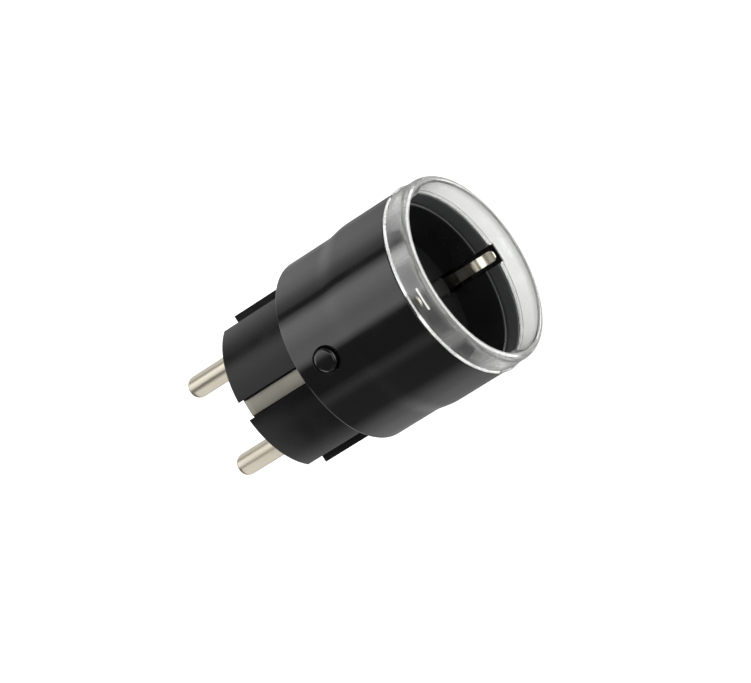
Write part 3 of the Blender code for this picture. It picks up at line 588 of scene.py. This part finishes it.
insert_low, insert_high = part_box("socket_insert")
ledge = insert_low.y
insert_radius = insert_high.x
insert_wall = 0.0008
well_radius = insert_radius - insert_wall
floor_back = groove_end
floor_thickness = 0.0020
floor_y = floor_back - floor_thickness
back_rounding = 0.0002
ledge_roundings = (0.0001, 0.0005)
insert = skin("socket_insert_moulding", turned(rounded([
    (0, floor_back, 0),
    (insert_radius, floor_back, back_rounding),
    (insert_radius, ledge, ledge_roundings[0]),
    (well_radius, ledge, ledge_roundings[1]),
    (well_radius, floor_y, 0),
    (0, floor_y, 0),
])))
groove_reach = 0.0169
groove_bottom = floor_y + 0.0008
over_floor = 0.002
shaped(insert, block((-slot_half, floor_y - over_floor, -groove_reach),
                     (slot_half, groove_bottom, groove_reach)), "DIFFERENCE")
bar_half = 0.00165
bar_end = 0.0146
bar_top = floor_y - 0.0015
shaped(insert, block((-bar_half, bar_top, -bar_end), (bar_half, floor_back - lap, bar_end)), "UNION")
spring_slot = 0.0159
socket_hole = 0.0028
past_insert = 0.004
for side in (-1, 1):
    low, high = sorted((side * spring_slot, side * beyond))
    shaped(insert, block((-slot_half, ledge - past_insert, low),
                         (slot_half, floor_back + past_insert, high)), "DIFFERENCE")
    shaped(insert, bar((side * pin_x, floor_y - past_insert, 0),
                       (side * pin_x, floor_back + past_insert, 0), socket_hole), "DIFFERENCE")
smooth(insert)
semi_gloss_black = moulded_black("semi_gloss_black_moulding", (0.010, 0.0105, 0.0105),
                                 (0.016, 0.0165, 0.0165), (0.26, 0.36), 0.10, edge=0.00004)
dress(insert, semi_gloss_black, "socket_insert")

# Earth springs. Nickel-plated spring strip, one on each side of the well: an arm up the wall that bows
# in to press on a plug's earth strip and is led out again to a rounded tip at the mouth.

spring_nickel = plated_metal("nickel_plated_spring", (0.78, 0.74, 0.63), (0.66, 0.60, 0.48), (0.19, 0.27),
                             (1, 0.5, 1), 0.12)
spring_low, spring_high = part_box("earth_spring_top")
spring_width = spring_high.x - spring_low.x
spring_thickness = 0.0005
foot_y = spring_high.y
arm_z = 0.0169
arm_end = -0.0350
bow_start = -0.0378
bow_middle = -0.0405
apex_z = 0.0151
tip_z = spring_high.z - 0.0002
tip_y = spring_low.y + 0.0001
apex_y = tip_y + 0.0044
for side, spring_name in ((1, "earth_spring_top"), (-1, "earth_spring_bottom")):
    path = curve_through([
        (foot_y, side * arm_z),
        (arm_end, side * arm_z),
        (bow_start, side * (arm_z - 0.0001)),
        (bow_middle, side * (apex_z + 0.0009)),
        (apex_y + 0.0008, side * (apex_z + 0.0001)),
        (apex_y - 0.0003, side * (apex_z + 0.0001)),
        (apex_y - 0.0012, side * (apex_z + 0.0006)),
        (tip_y + 0.0018, side * (tip_z - 0.0014)),
        (tip_y, side * tip_z),
    ], 200)
    grid = strip(path, spring_width, spring_thickness, taper=spring_width / 2)
    spring = skin(f"{spring_name}_strip", grid, ends="caps")
    smooth(spring, 40)
    dress(spring, spring_nickel, spring_name)

# Light ring. Clear polycarbonate, moulded and polished: it caps the housing, has a thin lip at its back
# edge, a full round at the mouth, a guide fin on each side of the pin line and four light pipes. The
# round, the fins and a window over each pipe are made a little milky, which is painted light: their
# white diffuse stands in for the light that the clear ring refracts there.

ring_low, ring_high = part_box("light_ring")
mouth = ring_low.y
ring_radius = ring_high.x
ring_side = ring_radius - 0.0004
ring_rounding = 0.0001
lip_end = ring_back - 0.00022
lip_root = ring_back - 0.00050
lip_rounding = 0.00008
bead_depth = 0.0011
bead_height = 0.0017
inner_rounding = 0.0003
back_edge = rounded([
    (band_radius, ring_back, ring_rounding),
    (ring_radius, ring_back, ring_rounding),
    (ring_radius, lip_end, lip_rounding),
    (ring_side, lip_root, ring_rounding),
    (ring_side, mouth + bead_height, 0),
    (band_radius, mouth, 0),
], steps=8)[:-2]
sweep = np.linspace(0, pi / 2, 15)[:, None]
bead = np.concatenate([ring_side - bead_depth * (1 - np.cos(sweep)),
                       mouth + bead_height * (1 - np.sin(sweep))], 1)
inner_edge = rounded([
    (ring_side, mouth, 0),
    (band_radius, mouth, inner_rounding),
    (band_radius, ring_back, 0),
], steps=8)[1:-1]
ring = skin("light_ring_moulding", turned(np.concatenate([back_edge, bead, inner_edge]), 256))


def fin(inner, outer, half, back, front, slope):
    """Grid of a guide fin: a block along the mouth's edge whose front slopes back towards its inner
    side, drawn out across its width from the same outline at each end."""
    radius = np.array([outer, outer, inner, inner])
    station = np.array([back, front, front + slope, back])
    across = np.array([[-half], [half]])
    return np.stack([radius + 0 * across, station + 0 * across, across + 0 * radius], -1)


hair = 0.00003
guide_half = 0.0023
guide_inner = band_radius - 0.0012
guide_root = band_radius + 0.0005
guide_front = mouth + 0.0010
guide_slope = 0.0030
tail_outer = 0.01915
tail_front = mouth + 0.0043
for side in (-1, 1):
    guide = fin(guide_inner, guide_root, guide_half, ring_back - gap, guide_front, guide_slope)
    tail = fin(guide_inner + hair, tail_outer, guide_half - hair, ledge - gap, tail_front, 0.0)
    for grid in (guide, tail):
        shaped(ring, grid * np.array([side, 1, 1]), "UNION")
pipe_lap = 0.0002
pipe_length = 0.0050
pipe = block((band_radius + hair, ring_back - pipe_lap, -pipe_half),
             (channel_radius - gap, ring_back + pipe_length, pipe_half))
for angle in pipe_angles:
    shaped(ring, spun(pipe, angle), "UNION")
recess_inner = 0.0186
recess_front = tongue_front - 0.0020
for side in (-1, 1):
    low, high = sorted((side * recess_inner, side * (tongue_outer + gap)))
    shaped(ring, block((-slot_half - gap, recess_front, low), (slot_half + gap, ring_back + gap, high)),
           "DIFFERENCE")
smooth(ring, 30)
clear, tree, plastic = shader("clear_polycarbonate")
place = own_place(tree)
flow = clouds_over(tree, place, 160, 2)
tree.links.new(blended(tree, flow, (0.96, 0.965, 0.95), (0.90, 0.91, 0.89)), plastic.inputs["Base Color"])
tree.links.new(spread(tree, flow, 0.04, 0.12), plastic.inputs["Roughness"])
ripple = node(tree, "ShaderNodeBump", [("Height", flow)], Strength=0.10, Distance=0.0002)
tree.links.new(ripple.outputs["Normal"], plastic.inputs["Normal"])
spot = node(tree, "ShaderNodeSeparateXYZ", [("Vector", place)]).outputs
turn = node(tree, "ShaderNodeMath", [(0, spot["Z"]), (1, spot["X"])], operation="ARCTAN2").outputs[0]
# Painted light: less transmission, and so a whiter diffuse, on the fins, the mouth's round and the pipe
# windows, standing in for refracted light.
fin_painted_light, clear_wall = 0.50, 0.95
mouth_painted_light, window_painted_light, clear_stretch = 0.68, 0.62, 0.97
fin_fade = (band_radius - 0.0004, band_radius)
mouth_fade = (mouth + 0.0008, mouth + 0.0022)
window_fade = (radians(2.5), radians(7.5))
clarity = spread(tree, from_axis(tree, place), fin_painted_light, clear_wall, *fin_fade)
painted_light_stretches = [spread(tree, spot["Y"], mouth_painted_light, clear_stretch, *mouth_fade)]
for angle in pipe_angles:
    beside = node(tree, "ShaderNodeMath", [(0, turn)], operation="SUBTRACT")
    beside.inputs[1].default_value = radians(angle)
    off = node(tree, "ShaderNodeMath", [(0, beside.outputs[0])], operation="ABSOLUTE").outputs[0]
    painted_light_stretches.append(spread(tree, off, window_painted_light, clear_stretch, *window_fade))
for painted_light_stretch in painted_light_stretches:
    clarity = node(tree, "ShaderNodeMath", [(0, clarity), (1, painted_light_stretch)], operation="MINIMUM").outputs[0]
tree.links.new(clarity, plastic.inputs["Transmission Weight"])
plastic.inputs["Specular IOR Level"].default_value = 1.0
plastic.inputs["Coat Weight"].default_value = 1.0
plastic.inputs["Coat IOR"].default_value = 2.0
plastic.inputs["Coat Roughness"].default_value = 0.06
plastic.inputs["IOR"].default_value = 1.58
dress(ring, clear, "light_ring")

# Parts inside. The boards, contacts, relay and the rest are the frame's own solids: they are hidden in
# the closed plug, and each keeps its shape and takes a finish of its own kind.


def finish(name, first, second, rough, scale, metallic=0.0, grain=0.15):
    """A plain finish with life in it: two tones in soft clouds, a wandering roughness and fine bump."""
    made, tree, surface = shader(name)
    clouds = clouds_over(tree, own_place(tree), scale, 4)
    tree.links.new(blended(tree, clouds, first, second), surface.inputs["Base Color"])
    tree.links.new(spread(tree, clouds, *rough), surface.inputs["Roughness"])
    bump = node(tree, "ShaderNodeBump", [("Height", clouds)], Strength=grain, Distance=0.00005)
    tree.links.new(bump.outputs["Normal"], surface.inputs["Normal"])
    surface.inputs["Metallic"].default_value = metallic
    return made


inner_finishes = {
    "nickel": finish("inner_nickel", (0.62, 0.58, 0.50), (0.52, 0.48, 0.40), (0.28, 0.42), 900, 1.0),
    "bronze": finish("stamped_bronze", (0.66, 0.46, 0.25), (0.55, 0.36, 0.18), (0.25, 0.45), 900, 1.0),
    "white_plastic": finish("natural_moulding", (0.80, 0.80, 0.76), (0.70, 0.70, 0.66), (0.35, 0.5), 600),
    "spring_steel": finish("spring_steel_leaf", (0.62, 0.62, 0.62), (0.50, 0.50, 0.51), (0.2, 0.35), 900,
                           1.0),
    "board": finish("solder_masked_board", (0.015, 0.11, 0.045), (0.03, 0.17, 0.07), (0.3, 0.45), 1500),
    "relay_case": finish("relay_case_moulding", (0.04, 0.10, 0.32), (0.06, 0.13, 0.38), (0.3, 0.42), 700),
    "film_case": finish("film_capacitor_moulding", (0.60, 0.46, 0.07), (0.66, 0.54, 0.13), (0.35, 0.5),
                        700),
    "varistor": finish("dipped_epoxy", (0.03, 0.13, 0.38), (0.05, 0.19, 0.46), (0.3, 0.45), 1100),
    "fuse": finish("glazed_ceramic", (0.66, 0.60, 0.48), (0.58, 0.52, 0.40), (0.35, 0.55), 900),
    "chip": finish("moulded_epoxy", (0.022, 0.022, 0.023), (0.040, 0.040, 0.042), (0.5, 0.65), 2600),
    "capacitor_can": finish("capacitor_sleeve", (0.03, 0.04, 0.08), (0.06, 0.07, 0.12), (0.3, 0.4), 800),
    "shield": finish("tinned_shield", (0.72, 0.73, 0.74), (0.60, 0.61, 0.62), (0.25, 0.4), 900, 1.0),
    "led": finish("led_encapsulant", (0.90, 0.86, 0.62), (0.80, 0.74, 0.48), (0.2, 0.3), 1800),
}
for part in frame["record"]["subparts"]:
    solid = frame["nodes"][part["node"]]
    if part["material_slot"] in inner_finishes and not solid.hide_render:
        solid.data.materials.clear()
        solid.data.materials.append(inner_finishes[part["material_slot"]])

# Shutter spring. A bent leaf of spring steel between the insert's upper post and the edge of one wing of
# the child shutter, all behind the socket floor.

leaf_low, leaf_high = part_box("shutter_spring")
leaf_thickness = 0.0004
leaf_start = np.array([leaf_low.x, leaf_high.z - leaf_thickness / 2])
leaf_end = np.array([leaf_high.x - leaf_thickness / 2, leaf_low.z])
leaf_corner = np.array([leaf_end[0], leaf_start[1]])
share = np.linspace(0, 1, 41)[:, None]
leaf_path = leaf_start * (1 - share) ** 2 + leaf_corner * 2 * share * (1 - share) + leaf_end * share ** 2
leaf_middle = (leaf_low.y + leaf_high.y) / 2
leaf_grid = strip(leaf_path, leaf_high.y - leaf_low.y, leaf_thickness, edge=0.00006)[..., [1, 0, 2]]
leaf_grid[..., 1] += leaf_middle
leaf = skin("shutter_spring_leaf", leaf_grid, ends="caps")
smooth(leaf, 40)
leaf.data.materials.append(inner_finishes["spring_steel"])
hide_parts("shutter_spring")
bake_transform(leaf)

# Camera. A long lens from above the mouth's side of the plug, rolled so that the plug's axis climbs
# to the right across the picture; its place follows from where the middle of the plug shows.

picture = (751, 683)
focal_pixels = 4500.0
stand_off = 0.9124
climb = radians(32.19)
tilt = radians(29.87)
aim_point = Vector((0, -0.030, 0))
aim_pixel = (388.84, 320.65)
towards = Vector((0, -sin(tilt), cos(tilt)))
along = Vector((0, -1, 0))
along = (along - towards * along.dot(towards)).normalized()
beside = towards.cross(along)
right = along * cos(climb) - beside * sin(climb)
up = along * sin(climb) + beside * cos(climb)
pixel = stand_off / focal_pixels
eye = aim_point + towards * stand_off
eye -= right * (aim_pixel[0] - picture[0] / 2) * pixel
eye += up * (aim_pixel[1] - picture[1] / 2) * pixel
lens = bpy.data.cameras.new("camera")
lens.sensor_fit = "HORIZONTAL"
lens.sensor_width = 36.0
lens.lens = focal_pixels * lens.sensor_width / picture[0]
lens.clip_start = 0.01
camera = bpy.data.objects.new("camera", lens)
camera.matrix_world = Matrix((
    (right.x, up.x, towards.x, eye.x),
    (right.y, up.y, towards.y, eye.y),
    (right.z, up.z, towards.z, eye.z),
    (0, 0, 0, 1),
))
scene.collection.objects.link(camera)
scene.camera = camera

# Stage. A plain white floor under the plug, lit from within as a light table is, and a white surround
# behind it; a dim grey room, which only the clear ring lets through; bent soft boxes on both sides,
# above and in front of the plug, and a broad one behind the camera.

floor_z = cad_box[0][2] - 0.0002
room = 3.0
floor_mesh = bpy.data.meshes.new("floor")
floor_mesh.from_pydata([(-room, -room, floor_z), (room, -room, floor_z), (room, room, floor_z),
                        (-room, room, floor_z)], [], [(0, 1, 2, 3)])
floor = bpy.data.objects.new("floor", floor_mesh)
scene.collection.objects.link(floor)
dome_sweep = np.linspace(0, pi, 25)
dome = turned(np.stack([room * np.sin(dome_sweep), room * np.cos(dome_sweep)], 1), 48)
backdrop = skin("backdrop", dome, ends="caps")
surround = skin("surround", 1.1 * dome, ends="caps")
white, tree, surface = shader("white_surround")
surface.inputs["Base Color"].default_value = (0.8, 0.8, 0.8, 1)
surface.inputs["Roughness"].default_value = 0.7
surface.inputs["Emission Color"].default_value = (1, 1, 1, 1)
surface.inputs["Emission Strength"].default_value = 1.0
grey, tree, surface = shader("grey_surround")
surface.inputs["Base Color"].default_value = (0, 0, 0, 1)
surface.inputs["Emission Color"].default_value = (1, 1, 1, 1)
surface.inputs["Emission Strength"].default_value = 0.25
for piece, paint in ((floor, white), (backdrop, grey), (surround, white)):
    piece.data.materials.append(paint)
    piece.visible_glossy = False
    piece.visible_diffuse = False
    piece.visible_shadow = False
backdrop.visible_camera = False
surround.visible_transmission = False


def soft_panel(name, angles, levels, slopes, station=-0.030, distance=0.9):
    """A bent soft box: from a station on the axis it lies that far off along the lines on which a surface
    that faces an angle round the plug, and a slope along it, throws back the camera's sight: twice the
    sight's share of the normal times the normal, less the sight. So a level given at an angle is a
    straight band of light along the housing and its swell, and between angles it runs evenly."""
    angle = np.linspace(angles[0], angles[-1], 181)
    turn = np.radians(angle)[:, None]
    slope = np.radians(np.linspace(*slopes, 25))[None]
    facing = np.stack([np.sin(turn) * np.cos(slope), 0 * turn + np.sin(slope),
                       np.cos(turn) * np.cos(slope)], -1)
    sight = np.array(towards)
    thrown = 2 * (facing @ sight)[..., None] * facing - sight
    panel = skin(name, np.array([0, station, 0]) + distance * thrown, ends="sheet")
    glow = panel.data.attributes.new("glow", "FLOAT", "POINT")
    glow.data.foreach_set("value", np.repeat(np.interp(angle, angles, levels), slope.size))
    cloth, tree, surface = shader(name)
    level = node(tree, "ShaderNodeAttribute", attribute_name="glow").outputs["Fac"]
    tree.links.new(level, surface.inputs["Emission Strength"])
    surface.inputs["Emission Color"].default_value = (1, 1, 1, 1)
    surface.inputs["Base Color"].default_value = (0, 0, 0, 1)
    panel.data.materials.append(cloth)
    panel.visible_camera = False
    panel.visible_transmission = False
    panel.visible_shadow = False


along_housing = (-15, 35)
along_mouth = (-78, -48)
along_pins = (-4, 14)
soft_panel("side_panel", (38, 44, 50, 58, 72, 88), (0.22, 0.42, 0.72, 0.72, 0.36, 0.26), along_housing)
soft_panel("top_panel", (2, 6, 14, 24, 28, 34), (0.15, 1.0, 0.88, 1.25, 1.25, 0.25), along_housing)
soft_panel("low_panel", (-88, -72, -62, -52, -42, -25, -20, -15),
           (0.20, 0.38, 0.52, 0.45, 0.08, 0.08, 0.24, 0.08), along_housing)
soft_panel("front_panel", (-75, 75), (2.5, 2.5), along_mouth)
soft_panel("pin_card", (-66, -50, -12, -8), (0.9, 0.9, 0.9, 0.2), along_pins, pin_tip / 2, 0.08)
front_level = 0.60
front_distance = 1.15
front_light = bpy.data.lights.new("front_box", "AREA")
front_light.shape = "RECTANGLE"
front_light.size, front_light.size_y = 1.0, 0.8
front_light.energy = front_level * pi * front_light.size * front_light.size_y
front_box = bpy.data.objects.new("front_box", front_light)
front_box.location = aim_point + towards * front_distance
front_box.rotation_euler = towards.to_track_quat("Z", "Y").to_euler()
front_box.visible_camera = False
scene.collection.objects.link(front_box)

level_below, level_above = 0.25, 0.075
horizon = (-0.20, 0.05)
world = bpy.data.worlds.new("room")
scene.world = world
world.use_nodes = True
tree = world.node_tree
height = node(tree, "ShaderNodeSeparateXYZ",
              [("Vector", node(tree, "ShaderNodeTexCoord").outputs["Generated"])]).outputs["Z"]
background = tree.nodes["Background"].inputs
tree.links.new(spread(tree, height, level_below, level_above, *horizon), background["Strength"])
background["Color"].default_value = (1, 1, 1, 1)
scene.view_settings.view_transform = "Standard"
